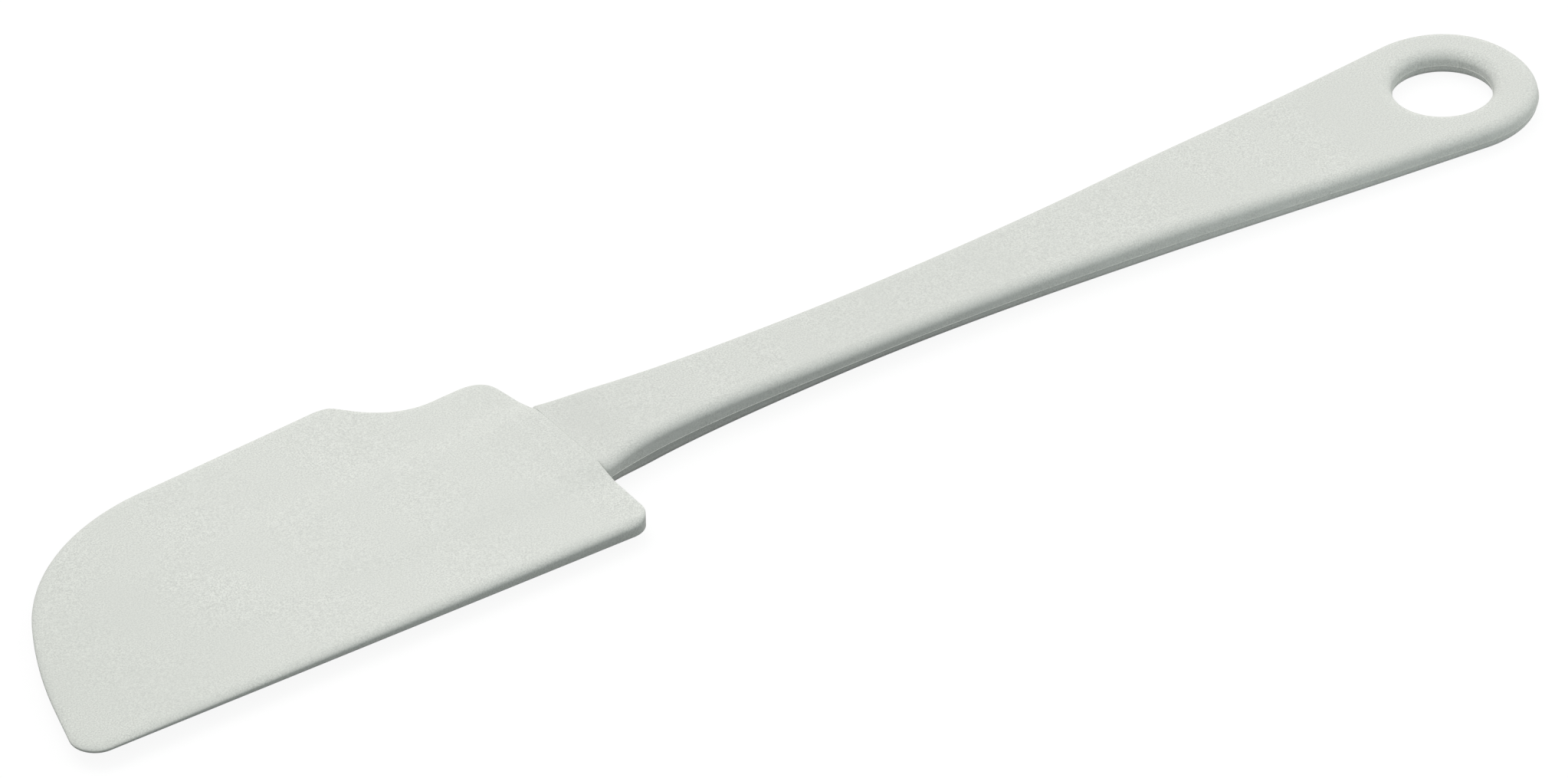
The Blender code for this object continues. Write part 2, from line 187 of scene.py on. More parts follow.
class HandleSizes(bpy.types.PropertyGroup):
    """Outline and thickness of the handle and its tongue. Thicknesses of the handle are halves."""

    length: length("Length", 0.15905, "Shoulder to the far end of the eye")
    shoulder_half_width: length("Shoulder half width", 0.0095, "Centre line to the shoulder's corner")
    shoulder_corner: length("Shoulder corner", 0.0007, "Rounding of the shoulder's corners")
    flare_power: bpy.props.FloatProperty(
        name="Flare power", description="How sharply the neck widens at the shoulder", default=4.0, min=1)
    waist_from_shoulder: length("Waist from shoulder", 0.04505, "Shoulder to the narrowest place")
    waist_half_width: length("Waist half width", 0.00645, "Half width of the narrowest place")
    taper_from_waist: length("Taper from waist", 0.0521, "Waist to the start of the grip's straight sides")
    eye_hole_radius: length("Eye hole radius", 0.00704, "Radius of the hanging hole")
    eye_ring_width: length("Eye ring width", 0.00623, "Width of the ring round the hole")
    eye_flattening: factor("Eye flattening", 0.015, "How much nearer the far end is than a round eye's")
    eye_fullness: factor("Eye fullness", 0.012, "How much fuller the eye is on both sides of its far end")
    rim_reach: length("Rim reach", 0.0021, "How far in the rounding along the edges reaches")
    rim_drop: length("Rim drop", 0.0012, "How far down the upper rounding reaches")
    rim_rise: length("Rim rise", 0.0016, "How far up the lower rounding reaches")
    upper_lean: factor("Upper lean", 0.12, "How much the side over the parting line leans inwards")
    lower_lean: factor("Lower lean", 0.20, "How much the side under the parting line leans inwards")
    neck_length: length("Neck length", 0.0080, "Shoulder to where the neck begins to get thinner")
    neck_half: length("Neck half", 0.002598, "Half thickness of the neck, where its front has risen")
    waist_half: length("Waist half", 0.00188, "Half thickness at the thinnest place")
    grip_half: length("Grip half", 0.00212, "Half thickness of the grip")
    eye_half: length("Eye half", 0.00187, "Half thickness of the eye")
    front_rise: length("Front rise", 0.0090, "Length in which the front rises from the blade to the neck")
    thin_from_shoulder: length("Thin from shoulder", 0.04745, "Shoulder to the thinnest place")
    thick_from_eye: length("Thick from eye", 0.0513, "Eye's centre back to the thickest place of the grip")
    flat_from_eye: length("Flat from eye", 0.0145, "Eye's centre back to where the level end begins")
    waist_lift: length("Waist lift", 0.00075, "Height of the underside at the thinnest place")
    grip_lift: length("Grip lift", 0.00025, "Height of the underside at the thickest place of the grip")
    tongue_length: length("Tongue length", 0.0300, "Shoulder to the tongue's tip")
    tongue_root_width: length("Tongue root width", 0.0130, "Width at the shoulder")
    tongue_tip_width: length("Tongue tip width", 0.0100, "Width at the tip")
    tongue_root_thickness: length("Tongue root thickness", 0.0018, "Thickness at the shoulder")
    tongue_tip_thickness: length("Tongue tip thickness", 0.0010, "Thickness at the tip")
    tongue_edge_radius: length("Tongue edge radius", 0.0006, "Rounding along its edges")
    tongue_tip_radius: length("Tongue tip radius", 0.0030, "Rounding of its two end corners")
    tongue_sink: length("Tongue sink", 0.0040, "How far the tongue runs on inside the handle")
    fit_clearance: length("Fit clearance", 0.0003, "Between the tongue and the pocket")
    bead_radius: length("Bead radius", 0.00007, "Thickness of the parting line's bead")
    bead_sides: bpy.props.IntProperty(
        name="Bead sides", description="Facets round the parting line's bead", default=10, min=3)


class FinishColours(bpy.types.PropertyGroup):
    """Colours and surface detail of the two mouldings."""

    blade: colour("Blade", (0.752, 0.761, 0.727), "Colour of the blade's rubber")
    # Nose tint: multiplied into the blade's colour, strongest at the nose and gone by the blade's middle
    nose_tint: colour("Nose tint", (0.934, 0.940, 0.933), "Colour that darkens the well-used nose")
    handle: colour("Handle", (0.714, 0.722, 0.690), "Colour of the handle's plastic")
    wear: colour("Wear", (0.790, 0.800, 0.775), "Colour of the rubbed edges")
    grain_size: length("Grain size", 0.00022, "Size of the fine grain of the mould")
    grain_tone: factor("Grain tone", 0.34, "How much the grain changes the colour")
    blade_roughness: factor("Blade roughness", 0.80, "Roughness of the rubber")
    handle_roughness: factor("Handle roughness", 0.72, "Roughness of the plastic")
    blade_shine: factor("Blade shine", 0.25, "How much the rubber reflects")
    handle_shine: factor("Handle shine", 0.30, "How much the plastic reflects")
    blade_wear: factor("Blade wear", 0.15, "How much the rubber's edges are rubbed")
    handle_wear: factor("Handle wear", 0.30, "How much the plastic's edges are rubbed")


class StageSettings(bpy.types.PropertyGroup):
    """Camera, light and floor."""

    azimuth: angle("Azimuth", -33.207, "Camera's turn about Z, from looking along +Y")
    elevation: angle("Elevation", 35.143, "Camera's height angle")
    roll: angle("Roll", -1.607, "Camera's turn about its own axis")
    distance: length("Distance", 2.5, "Camera to its target")
    target_x: length("Target X", -0.00069, "Camera's target on the floor, along X")
    target_y: length("Target Y", -0.00510, "Camera's target on the floor, along Y")
    focal_pixels: bpy.props.FloatProperty(
        name="Focal length", description="Focal length in pixels of the photograph", default=23975.6,
        subtype="PIXEL")
    key_level: factor("Key level", 0.355, "Light of the key on a level surface, against white as 1")
    key_azimuth: angle("Key azimuth", 0.0, "Key's turn from +Y towards -X")
    key_elevation: angle("Key elevation", 54.0, "Key's height angle")
    left_level: factor("Left level", 0.02, "Light of the lamp on the nose's side on a level surface")
    right_level: factor("Right level", 0.09, "Light of the lamp on the eye's side on a level surface")
    side_azimuth: angle("Side azimuth", 80.0, "Turn of the side lamps from +Y, to both sides")
    side_elevation: angle("Side elevation", 20.0, "Height angle of the side lamps")
    fill_level: bpy.props.FloatProperty(
        name="Fill level", description="Strength of the fill lamp in front of the eye's end", default=0.040)
    fill_size: length("Fill size", 0.16, "Side of the square fill lamp")
    lamp_spread: angle("Lamp spread", 60.0, "Width of each lamp as the object sees it")
    lamp_colour: colour("Lamp colour", (1.0, 0.96, 0.95), "Colour of the lamps")
    sky_level: factor("Sky level", 0.46, "Even light from all round, against white as 1")
    sky_colour: colour("Sky colour", (0.93, 1.0, 0.985), "Colour of the even light")
    floor_colour: colour("Floor", (0.03, 0.035, 0.035), "Colour of the floor, as the blade and neck see it")
    card_colour: colour("Card", (0.40, 0.42, 0.42), "Colour of the floor, as the grip and the eye see it")
    card_start: length("Card start", 0.015, "Where the floor begins to turn lighter, along X")
    card_end: length("Card end", 0.068, "Where it has turned lighter")
    floor_glow: factor("Floor glow", 0.91, "White of the floor for the camera, before its shading")
    floor_shading: factor("Floor shading", 0.12, "How much of the floor's light and shadow the camera sees")


def share(value, low, high):
    """Where value lies between low and high, from 0 to 1."""
    return min(1.0, max(0.0, (value - low) / (high - low)))


def smooth(t):
    """Eases a share from 0 to 1 in and out."""
    return t * t * (3 - 2 * t)


def round_start(x, reach):
    """How far a quarter round still is from its full height at x: 1 at x = 0, and 0 from reach on."""
    return 1 - math.sqrt(1 - (1 - share(x, 0, reach)) ** 2)


def through(stations, x, ease=lambda t: t):
    """Height at x on lines through (x, height) stations, straight ones unless an ease bends them."""
    for (x0, h0), (x1, h1) in zip(stations, stations[1:]):
        if x <= x1:
            return h0 + (h1 - h0) * ease(share(x, x0, x1))
    return stations[-1][1]


def arc(centre, radius, start, turn, step=ARC_STEP):
    """Points of an arc with their directions from its centre, both ends included."""
    count = max(2, math.ceil(abs(turn) / step))
    angles = [start + turn * i / count for i in range(count + 1)]
    directions = [Vector((math.cos(a), math.sin(a))) for a in angles]
    return [(centre + d * radius, d) for d in directions]


def rounded_outline(corners):
    """Closed outline as (point, outward direction), anticlockwise, from (x, y, radius) corners."""
    count = len(corners)
    points = [Vector(corner[:2]) for corner in corners]
    backs = [(points[i - 1] - points[i]).normalized() for i in range(count)]
    aheads = [(points[(i + 1) % count] - points[i]).normalized() for i in range(count)]
    halves = [back.angle(ahead) / 2 for back, ahead in zip(backs, aheads)]
    lengths = [corner[2] / math.tan(half) for corner, half in zip(corners, halves)]
    for i in range(count):
        follower = (i + 1) % count
        excess = (lengths[i] + lengths[follower]) / (points[follower] - points[i]).length
        if excess > 1:
            lengths[i] /= excess
            lengths[follower] /= excess
    outline = []
    for point, back, ahead, half, reach in zip(points, backs, aheads, halves, lengths):
        radius = reach * math.tan(half)
        centre = point + (back + ahead).normalized() * radius / math.sin(half)
        start = point + back * reach - centre
        bulge = 1 if back.cross(ahead) < 0 else -1
        step = min(ARC_STEP, LONGEST_STEP / radius)
        turned = arc(centre, radius, math.atan2(start.y, start.x), bulge * (math.pi - 2 * half), step)
        outline += [(place, direction * bulge) for place, direction in turned]
    return with_side_points(outline, outline[1:] + outline[:1])


def with_side_points(outline, followers):
    """Adds evenly spaced points where a point and its follower are far apart, and drops doubled ones."""
    filled = []
    for (point, direction), (ahead, ahead_direction) in zip(outline, followers):
        distance = (ahead - point).length
        if distance < DOUBLED:
            continue
        count = math.ceil(distance / LONGEST_STEP)
        for i in range(count):
            turned = direction.lerp(ahead_direction, i / count).normalized()
            filled.append((point.lerp(ahead, i / count), turned))
    return filled


def rim_of(edge, outward, rim, half):
    """A rim's points as (place, height, edginess), from its outermost point up onto the face.

    The rim is (reach, drop, lean): a side that leans inwards, and a quarter of an ellipse over it.
    """
    reach, drop, lean = rim
    drop = min(drop, ROUND_SHARE * half)
    side = half - drop
    points = [(edge, 0.0, 1.0)]
    for i in range(RIM_STEPS + 1):
        turn = math.pi / 2 * i / RIM_STEPS
        inwards = lean * side + (reach - lean * side) * (1 - math.cos(turn))
        points.append((edge - outward * inwards, side + drop * math.sin(turn), 1 - i / RIM_STEPS))
    return points


def face_of(start, end, steps, half_at):
    """A face's points as (place, height, edginess), after its start and up to its end."""
    places = [start.lerp(end, i / steps) for i in range(1, steps + 1)]
    return [(place, half_at(place), 0.0) for place in places]


def new_surface():
    """An empty mesh with a value that is 1 at the outermost rim and 0 on the faces, for the wear."""
    mesh = bmesh.new()
    mesh.verts.layers.float.new("rim")
    return mesh


def add_surface(mesh, ribs, to_space, closed=False):
    """Joins each rib to its follower with quads, as far in as both reach. Returns the ribs' points."""
    edginess = mesh.verts.layers.float["rim"]
    rows = []
    for rib in ribs:
        row = []
        for place, height, rim in rib:
            vertex = mesh.verts.new(to_space(place, height))
            vertex[edginess] = rim
            row.append(vertex)
        rows.append(row)
    followers = rows[1:] + rows[:1] if closed else rows[1:]
    for row, ahead in zip(rows, followers):
        for i in range(min(len(row), len(ahead)) - 1):
            mesh.faces.new((row[i], ahead[i], ahead[i + 1], row[i + 1]))
    return rows


def close_seams(mesh):
    """Merges points that meet, drops what collapses, and turns all faces outwards."""
    bmesh.ops.remove_doubles(mesh, verts=mesh.verts, dist=MERGE_DISTANCE)
    bmesh.ops.recalc_face_normals(mesh, faces=mesh.faces)


def make_object(name, mesh, material):
    """A smooth-shaded object at the origin, with its place in its mesh."""
    data = bpy.data.meshes.new(name)
    mesh.to_mesh(data)
    mesh.free()
    data.materials.append(material)
    data.shade_smooth()
    data.set_sharp_from_angle(angle=SMOOTH_ANGLE)
    made = bpy.data.objects.new(name, data)
    bpy.context.scene.collection.objects.link(made)
    return made


def evaluated_copy(made):
    """The object's mesh with its modifiers applied."""
    graph = bpy.context.evaluated_depsgraph_get()
    return bpy.data.meshes.new_from_object(made.evaluated_get(graph), depsgraph=graph)


def combine(made, operation, helper_mesh, material):
    """Joins a closed shape to the object, or cuts it out of it."""
    helper = make_object(made.name + "_helper", helper_mesh, material)
    boolean = made.modifiers.new("combine", "BOOLEAN")
    boolean.operation = operation
    boolean.solver = "EXACT"
    boolean.object = helper
    combined = evaluated_copy(made)
    made.modifiers.remove(boolean)
    made.data = combined
    bpy.data.objects.remove(helper)
    combined.shade_smooth()
    combined.set_sharp_from_angle(angle=SMOOTH_ANGLE)


def crease_outermost(mesh):
    """Keeps the edges along the outermost points of the rims sharp."""
    edginess = mesh.attributes["rim"].data
    sharp = mesh.attributes["sharp_edge"].data
    for edge in mesh.edges:
        if min(edginess[i].value for i in edge.vertices) > OUTERMOST:
            sharp[edge.index].value = True


def plan_origin(handle):
    """The middle of the shoulder on the resting plane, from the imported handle's box."""
    low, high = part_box("handle")
    return Vector((high[0] - handle.length, (low[1] + high[1]) / 2, low[2]))


def tongue_thickness(handle, x):
    """The tongue's thickness, which tapers from its root at x = 0 to its tip."""
    taper = handle.tongue_tip_thickness - handle.tongue_root_thickness
    return handle.tongue_root_thickness + taper * share(-x, 0, handle.tongue_length)


def mouth_half(blade, handle):
    """Half the height of the blade's end over the tongue, and of the handle's front that meets it."""
    return handle.tongue_root_thickness / 2 + handle.fit_clearance + blade.mouth_wall


def blade_outline(blade):
    """The blade from above, with its end face at x = 0 and the handle's centre line at y = 0."""
    toe_x = -blade.length
    return rounded_outline([
        (toe_x, -blade.toe_side, blade.toe_radius),
        (-blade.corner_setback, -blade.straight_side, blade.straight_end_radius),
        (0.0, -blade.end_bend_offset, blade.end_bend_radius),
        (0.0, blade.end_bend_offset, blade.end_bend_radius),
        (-blade.heel_setback, blade.heel_offset, blade.heel_radius),
        (-blade.hollow_from_end, blade.hollow_offset, blade.hollow_radius),
        (-blade.horn_from_end, blade.horn_offset, blade.horn_radius),
        (toe_x + blade.brow_from_toe, blade.brow_offset, blade.brow_radius),
        (toe_x + blade.knee_from_toe, blade.knee_offset, blade.knee_radius),
    ])


def blade_half(blade, handle, place):
    """Half the blade's thickness: a wedge that thins towards the nose, swollen over the pocket."""
    at_rim = blade.nose_half + (blade.heel_half - blade.nose_half) * share(place.x, -blade.length, 0)
    over_tongue = handle.fit_clearance + blade.pocket_wall
    at_middle = through([
        (-blade.length, blade.nose_half),
        (-handle.tongue_length, handle.tongue_tip_thickness / 2 + over_tongue),
        (-blade.mouth_lip, tongue_thickness(handle, -blade.mouth_lip) / 2 + over_tongue),
        (0, mouth_half(blade, handle)),
    ], place.x)
    level_to = handle.tongue_root_width / 2 + blade.swell_level
    gone_from = handle.tongue_root_width / 2 + blade.swell_fade
    return at_middle + (at_rim - at_middle) * share(abs(place.y), level_to, gone_from)


def blade_rib(blade, handle, up, edge, outward):
    """From the blade's rim over (up = 1) or under (up = -1), most of the way to the middle of its face."""
    def half_at(place):
        return blade_half(blade, handle, place)

    side_reach, side_drop = blade.under_reach, blade.under_drop
    if up > 0:
        side_reach, side_drop = blade.side_reach, blade.side_drop
    endwards = smooth(max(0.0, outward.x))
    beside = share(abs(edge.y), handle.shoulder_half_width - handle.rim_reach, handle.shoulder_half_width)
    end_rim = blade.joint_rim + (blade.end_rim - blade.joint_rim) * beside
    reach = side_reach + (end_rim - side_reach) * endwards
    drop = side_drop + (end_rim - side_drop) * endwards
    border = rim_of(edge, outward, (reach, drop, 0.0), half_at(edge - outward * reach))
    start = border[-1][0]
    spine_x = min(max(edge.x, SPINE_FROM_TOE - blade.length), -SPINE_FROM_END)
    end = start.lerp(Vector((spine_x, 0)), RIB_REACH)
    return border + face_of(start, end, BLADE_FACE_STEPS, half_at)


def make_blade(blade, handle, material):
    """The blade, from its outline's ribs, with the tongue's pocket cut into its end face."""
    origin = plan_origin(handle)
    middle_z = origin.z + handle.neck_half
    mesh = new_surface()
    for up in (1, -1):
        ribs = [blade_rib(blade, handle, up, edge, outward) for edge, outward in blade_outline(blade)]
        rows = add_surface(mesh, ribs, lambda place, height: (
            origin.x + place.x - blade.joint_gap,
            origin.y + place.y,
            middle_z + up * height,
        ), closed=True)
        loop = [mesh.edges.get((row[-1], ahead[-1])) for row, ahead in zip(rows, rows[1:] + rows[:1])]
        bmesh.ops.triangle_fill(mesh, edges=loop, use_beauty=True)
    close_seams(mesh)
    made = make_object("scraper_blade", mesh, material)
    combine(made, "DIFFERENCE", tongue_mesh(handle, handle.fit_clearance, blade.end_rim), material)
    return made


def tongue_mesh(handle, grown, root_x):
    """The tongue, larger by grown on every side, from x = root_x at its root to its tip at -X."""
    mesh = new_surface()
    origin = plan_origin(handle) + Vector((0, 0, handle.neck_half))
    tip_x = -handle.tongue_length - grown
    corner = min(handle.tongue_tip_radius + grown, handle.tongue_tip_width / 2)
    stations = [root_x, 0.0, -handle.tongue_length / 2]
    for i in range(TONGUE_TIP_STEPS + 1):
        stations.append(tip_x + corner * (1 - math.sin(math.pi / 2 * i / TONGUE_TIP_STEPS)))
    loops = []
    for x in stations:
        along = share(-x, 0, handle.tongue_length)
        width = handle.tongue_root_width + (handle.tongue_tip_width - handle.tongue_root_width) * along
        past = min(corner, max(0.0, tip_x + corner - x))
        drawn_in = corner - math.sqrt(corner ** 2 - past ** 2)
        half_width = width / 2 + grown - drawn_in
        half_height = tongue_thickness(handle, x) / 2 + grown
        radius = handle.tongue_edge_radius + grown
        loops.append(rounded_section(mesh, origin, x, half_width, half_height, radius))
    for loop, ahead in zip(loops, loops[1:]):
        for i in range(len(loop)):
            mesh.faces.new((loop[i - 1], loop[i], ahead[i], ahead[i - 1]))
    mesh.faces.new(loops[0])
    mesh.faces.new(loops[-1])
    close_seams(mesh)
    return mesh


def rounded_section(mesh, origin, x, half_width, half_height, radius):
    """A loop of points across the X axis: a rectangle with round corners."""
    radius = min(radius, ROUND_SHARE * half_width, ROUND_SHARE * half_height)
    loop = []
    for quarter, (side, up) in enumerate(((1, 1), (-1, 1), (-1, -1), (1, -1))):
        centre = Vector((side * (half_width - radius), up * (half_height - radius)))
        for point, _ in arc(centre, radius, quarter * math.pi / 2, math.pi / 2, SECTION_STEP):
            loop.append(mesh.verts.new(origin + Vector((x, point.x, point.y))))
    return loop


def eye_radius(handle):
    """Outer radius of the eye where it is round."""
    return handle.eye_hole_radius + handle.eye_ring_width


def eye_centre(handle):
    """Centre of the hanging hole in the plan."""
    return Vector((handle.length - eye_radius(handle), 0))


def eye_edge(handle):
    """The outer edge of half the eye, from the grip's side to the far end, with outward directions."""
    edge = []
    start = math.pi / 2 + grip_taper(handle)
    for _, direction in arc(eye_centre(handle), eye_radius(handle), start, -start):
        endwards = max(0.0, direction.x)
        fullness = handle.eye_fullness * (2 * endwards * direction.y) ** 2
        radius = eye_radius(handle) * (1 - handle.eye_flattening * endwards ** FLATTENING_POWER + fullness)
        edge.append((eye_centre(handle) + direction * radius, direction))
    return edge


def handle_rim(handle, up):
    """The rim over the parting line (up = 1) or under it (up = -1), as rim_of takes it."""
    reach = min(handle.rim_reach, RIM_SHARE * min(handle.eye_ring_width, handle.waist_half_width))
    if up > 0:
        return reach, handle.rim_drop, handle.upper_lean
    return reach, handle.rim_rise, handle.lower_lean


def neck_side(handle):
    """One side from the shoulder to the waist: a round corner, then a flare that is level at the waist."""
    front = [handle.front_rise * (1 - math.cos(math.pi / 2 * i / FRONT_STEPS)) for i in range(FRONT_STEPS)]
    remaining = handle.waist_from_shoulder - handle.front_rise
    count = math.ceil(remaining / LONGEST_STEP)
    widening = handle.shoulder_half_width - handle.waist_half_width
    side = []
    for x in front + [handle.front_rise + remaining * i / count for i in range(count + 1)]:
        flare = widening * (1 - x / handle.waist_from_shoulder) ** handle.flare_power
        drawn_in = handle.shoulder_corner * round_start(x, handle.shoulder_corner)
        side.append((Vector((x, handle.waist_half_width + flare - drawn_in)), Vector((0, 1))))
    return side


def grip_taper(handle):
    """The angle of the grip's straight sides, which leave the waist's curve and touch the eye's circle."""
    waist_to_eye = eye_centre(handle).x - handle.waist_from_shoulder
    low = SMALLEST_TAPER
    high = LARGEST_TAPER
    for _ in range(TAPER_HALVINGS):
        taper = (low + high) / 2
        half_width = handle.waist_half_width + handle.taper_from_waist * math.tan(taper / 2)
        reach = half_width * math.cos(taper) + (waist_to_eye - handle.taper_from_waist) * math.sin(taper)
        if reach < eye_radius(handle):
            low = taper
        else:
            high = taper
    return taper


def grip_side(handle):
    """One side from the waist to the eye's circle: a wide arc, then a straight taper."""
    taper = grip_taper(handle)
    radius = handle.taper_from_waist / math.sin(taper)
    centre = Vector((handle.waist_from_shoulder, handle.waist_half_width + radius))
    curve = arc(centre, radius, -math.pi / 2, taper, LONGEST_STEP / radius)
    side = [(place, -direction) for place, direction in curve]
    outward = side[-1][1]
    side.append((eye_centre(handle) + outward * eye_radius(handle), outward))
    return with_side_points(side[1:], side[2:])


def handle_side(handle):
    """One whole side of the handle, from the shoulder to the far end of the eye."""
    return neck_side(handle) + grip_side(handle) + eye_edge(handle)


def handle_ribs(blade, handle, up):
    """Ribs of one quarter of the handle, to the centre line or, at the eye, into the hole."""
    def half_at(place):
        return handle_half(blade, handle, place)

    centre = eye_centre(handle)
    rim = handle_rim(handle, up)
    hole_start = centre.x - handle.eye_hole_radius - rim[0]
    side = neck_side(handle) + grip_side(handle)
    edges = [(edge, outward, None) for edge, outward in side if edge.x < hole_start]
    taper = grip_taper(handle)
    outward = Vector((-math.sin(taper), math.cos(taper)))
    circle_start = centre + outward * eye_radius(handle)
    steps = math.ceil(math.pi / 2 / ARC_STEP)
    for i in range(steps):
        along = i / steps
        x = hole_start + (circle_start.x - hole_start) * along
        edge = Vector((x, circle_start.y - (circle_start.x - x) * math.tan(taper)))
        edges.append((edge, outward, math.pi - (math.pi / 2 - taper) * along))
    for edge, direction in eye_edge(handle):
        edges.append((edge, direction, math.atan2(direction.y, direction.x)))
    ribs = []
    for edge, outward, to_hole in edges:
        rib = rim_of(edge, outward, rim, half_at(edge))
        if to_hole is None:
            rib += face_of(rib[-1][0], Vector((edge.x, 0)), HANDLE_FACE_STEPS, half_at)
        else:
            direction = Vector((math.cos(to_hole), math.sin(to_hole)))
            hole_edge = centre + direction * handle.eye_hole_radius
            rib += face_of(rib[-1][0], hole_edge + direction * rim[0], HANDLE_FACE_STEPS, half_at)
            rib += rim_of(hole_edge, -direction, rim, handle.eye_half)[-2::-1]
        ribs.append(rib)
    return ribs


def handle_half(blade, handle, place):
    """Half the handle's thickness."""
    centre = eye_centre(handle)
    half = through([
        (handle.neck_length, handle.neck_half),
        (handle.thin_from_shoulder, handle.waist_half),
        (centre.x - handle.thick_from_eye, handle.grip_half),
        (centre.x - handle.flat_from_eye, handle.eye_half),
    ], place.x, smooth)
    return half - front_step(blade, handle, place)


def front_step(blade, handle, place):
    """How much lower the front, which starts level with the blade, still is than the neck."""
    risen = smooth(share(place.x, 0, handle.front_rise))
    return (handle.neck_half - mouth_half(blade, handle)) * (1 - risen)


def handle_middle(blade, handle, place):
    """Height of the handle's middle plane over the resting plane."""
    centre = eye_centre(handle)
    underside = through([
        (handle.neck_length, 0.0),
        (handle.thin_from_shoulder, handle.waist_lift),
        (centre.x - handle.thick_from_eye, handle.grip_lift),
        (centre.x - handle.flat_from_eye, 0.0),
    ], place.x, smooth)
    return underside + handle_half(blade, handle, place) + front_step(blade, handle, place)


def make_handle(blade, handle, material):
    """The handle, from four mirrored sets of ribs, with its tongue."""
    origin = plan_origin(handle)
    mesh = new_surface()
    for up in (1, -1):
        ribs = handle_ribs(blade, handle, up)
        for side in (1, -1):
            add_surface(mesh, ribs, lambda place, height: (
                origin.x + place.x,
                origin.y + side * place.y,
                origin.z + handle_middle(blade, handle, place) + up * height,
            ))
    close_seams(mesh)
    bmesh.ops.holes_fill(mesh, edges=[edge for edge in mesh.edges if edge.is_boundary])
    close_seams(mesh)
    made = make_object("grip_handle", mesh, material)
    combine(made, "UNION", tongue_mesh(handle, 0.0, handle.tongue_sink), material)
    crease_outermost(made.data)
    return made


def bead_tree(material):
    """Geometry nodes that run a thin round bead along each edge path of a mesh."""
    tree = bpy.data.node_groups.new("Parting line bead", "GeometryNodeTree")
    tree.interface.new_socket("Geometry", in_out="INPUT", socket_type="NodeSocketGeometry")
    radius = tree.interface.new_socket("Bead radius", in_out="INPUT", socket_type="NodeSocketFloat")
    sides = tree.interface.new_socket("Bead sides", in_out="INPUT", socket_type="NodeSocketInt")
    tree.interface.new_socket("Geometry", in_out="OUTPUT", socket_type="NodeSocketGeometry")
    start = tree.nodes.new("NodeGroupInput")
    path = tree.nodes.new("GeometryNodeMeshToCurve")
    profile = tree.nodes.new("GeometryNodeCurvePrimitiveCircle")
    sweep = tree.nodes.new("GeometryNodeCurveToMesh")
    sweep.inputs["Fill Caps"].default_value = True
    soft = tree.nodes.new("GeometryNodeSetShadeSmooth")
    whole = tree.nodes.new("GeometryNodeRealizeInstances")
    paint = tree.nodes.new("GeometryNodeSetMaterial")
    paint.inputs["Material"].default_value = material
    end = tree.nodes.new("NodeGroupOutput")
    link = tree.links.new
    link(start.outputs["Geometry"], path.inputs["Mesh"])
    link(start.outputs["Bead radius"], profile.inputs["Radius"])
    link(start.outputs["Bead sides"], profile.inputs["Resolution"])
    link(path.outputs["Curve"], sweep.inputs["Curve"])
    link(profile.outputs["Curve"], sweep.inputs["Profile Curve"])
    link(sweep.outputs["Mesh"], soft.inputs["Geometry"])
    link(soft.outputs["Geometry"], whole.inputs["Geometry"])
    link(whole.outputs["Geometry"], paint.inputs["Geometry"])
    link(paint.outputs["Geometry"], end.inputs["Geometry"])
    return tree, radius.identifier, sides.identifier


def make_parting_line(blade, handle, material):
    """The bead that the two halves of the mould left: round the handle's side, and inside the hole."""
    origin = plan_origin(handle)
    mesh = bmesh.new()
    side = [edge for edge, _ in handle_side(handle)]
    round_the_handle = side + [Vector((edge.x, -edge.y)) for edge in side[-2::-1]]
    hole = [place for place, _ in arc(eye_centre(handle), handle.eye_hole_radius, 0, 2 * math.pi)]
    for places in (round_the_handle, hole):
        heights = [handle_middle(blade, handle, place) for place in places]
        row = [mesh.verts.new(origin + Vector((*place, z))) for place, z in zip(places, heights)]
        for vertex, ahead in zip(row, row[1:]):
            mesh.edges.new((vertex, ahead))
    bmesh.ops.remove_doubles(mesh, verts=mesh.verts, dist=MERGE_DISTANCE)
    made = make_object("parting_line", mesh, material)
    tree, radius, sides = bead_tree(material)
    modifier = made.modifiers.new("bead", "NODES")
    modifier.node_group = tree
    modifier[radius] = handle.bead_radius
    modifier[sides] = handle.bead_sides
    made.data = evaluated_copy(made)
    made.modifiers.clear()
    return made


def group_tree(name, inputs, outputs):
    """An empty shader node group with these named float inputs and outputs."""
    tree = bpy.data.node_groups.new(name, "ShaderNodeTree")
    for socket in inputs:
        tree.interface.new_socket(socket, in_out="INPUT", socket_type="NodeSocketFloat")
    for socket in outputs:
        tree.interface.new_socket(socket, in_out="OUTPUT", socket_type="NodeSocketFloat")
    return tree, tree.nodes.new("NodeGroupInput"), tree.nodes.new("NodeGroupOutput")


def noise(tree, scale, detail, vector):
    """A noise texture on a vector socket. The scale is a number or a socket."""
    texture = tree.nodes.new("ShaderNodeTexNoise")
    texture.inputs["Detail"].default_value = detail
    tree.links.new(vector, texture.inputs["Vector"])
    if isinstance(scale, float):
        texture.inputs["Scale"].default_value = scale
    else:
        tree.links.new(scale, texture.inputs["Scale"])
    return texture.outputs["Fac"]


def maths(tree, operation, first, second):
    """A math node on two values, each a number or a socket."""
    node = tree.nodes.new("ShaderNodeMath")
    node.operation = operation
    for socket, value in zip(node.inputs, (first, second)):
        if isinstance(value, float):
            socket.default_value = value
        else:
            tree.links.new(value, socket)
    return node.outputs["Value"]


def remap(tree, value, low, high, new_low, new_high):
    """Moves a value from one range to another, held inside the new one."""
    node = tree.nodes.new("ShaderNodeMapRange")
    for name, number in (("From Min", low), ("From Max", high), ("To Min", new_low), ("To Max", new_high)):
        node.inputs[name].default_value = number
    tree.links.new(value, node.inputs["Value"])
    return node.outputs["Result"]


